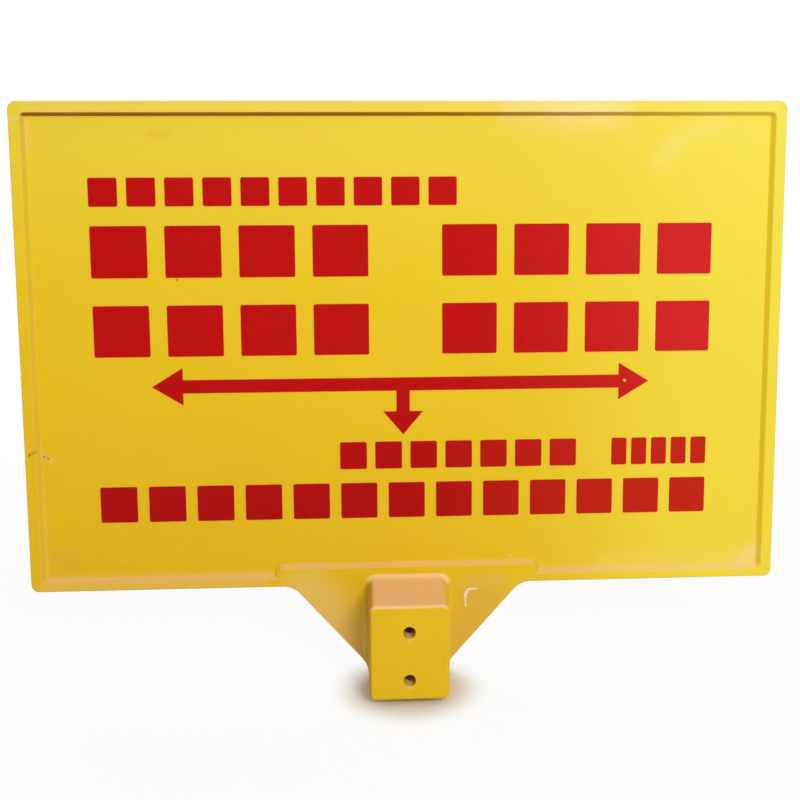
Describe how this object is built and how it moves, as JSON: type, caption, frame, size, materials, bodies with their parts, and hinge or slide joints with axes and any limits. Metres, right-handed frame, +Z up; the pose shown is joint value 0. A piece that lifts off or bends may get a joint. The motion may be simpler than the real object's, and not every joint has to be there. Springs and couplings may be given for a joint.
{
  "type": "pipeline marker sign head",
  "caption": "Moulded yellow sign head with a raised rim and a hollow post socket, printed in red with a double arrow and rows of plain blocks",
  "frame": {"origin": "Centre of the socket's mouth, on the axis of the post that it takes", "axes": "+Z up along the post, the printed face looks along -Y, +X to the right as seen by someone who reads the sign from behind it"},
  "size_m": [0.62, 0.067, 0.4755],
  "materials": {
    "moulding": "satin",
    "print": "satin"
  },
  "bodies": {
    "root": {"sign_head": "moulding", "arrow_mark": "print", "first_row_marks": "print", "second_row_marks": "print", "third_row_marks": "print", "fourth_row_marks": "print", "fifth_row_marks": "print"}
  },
  "joints": []
}
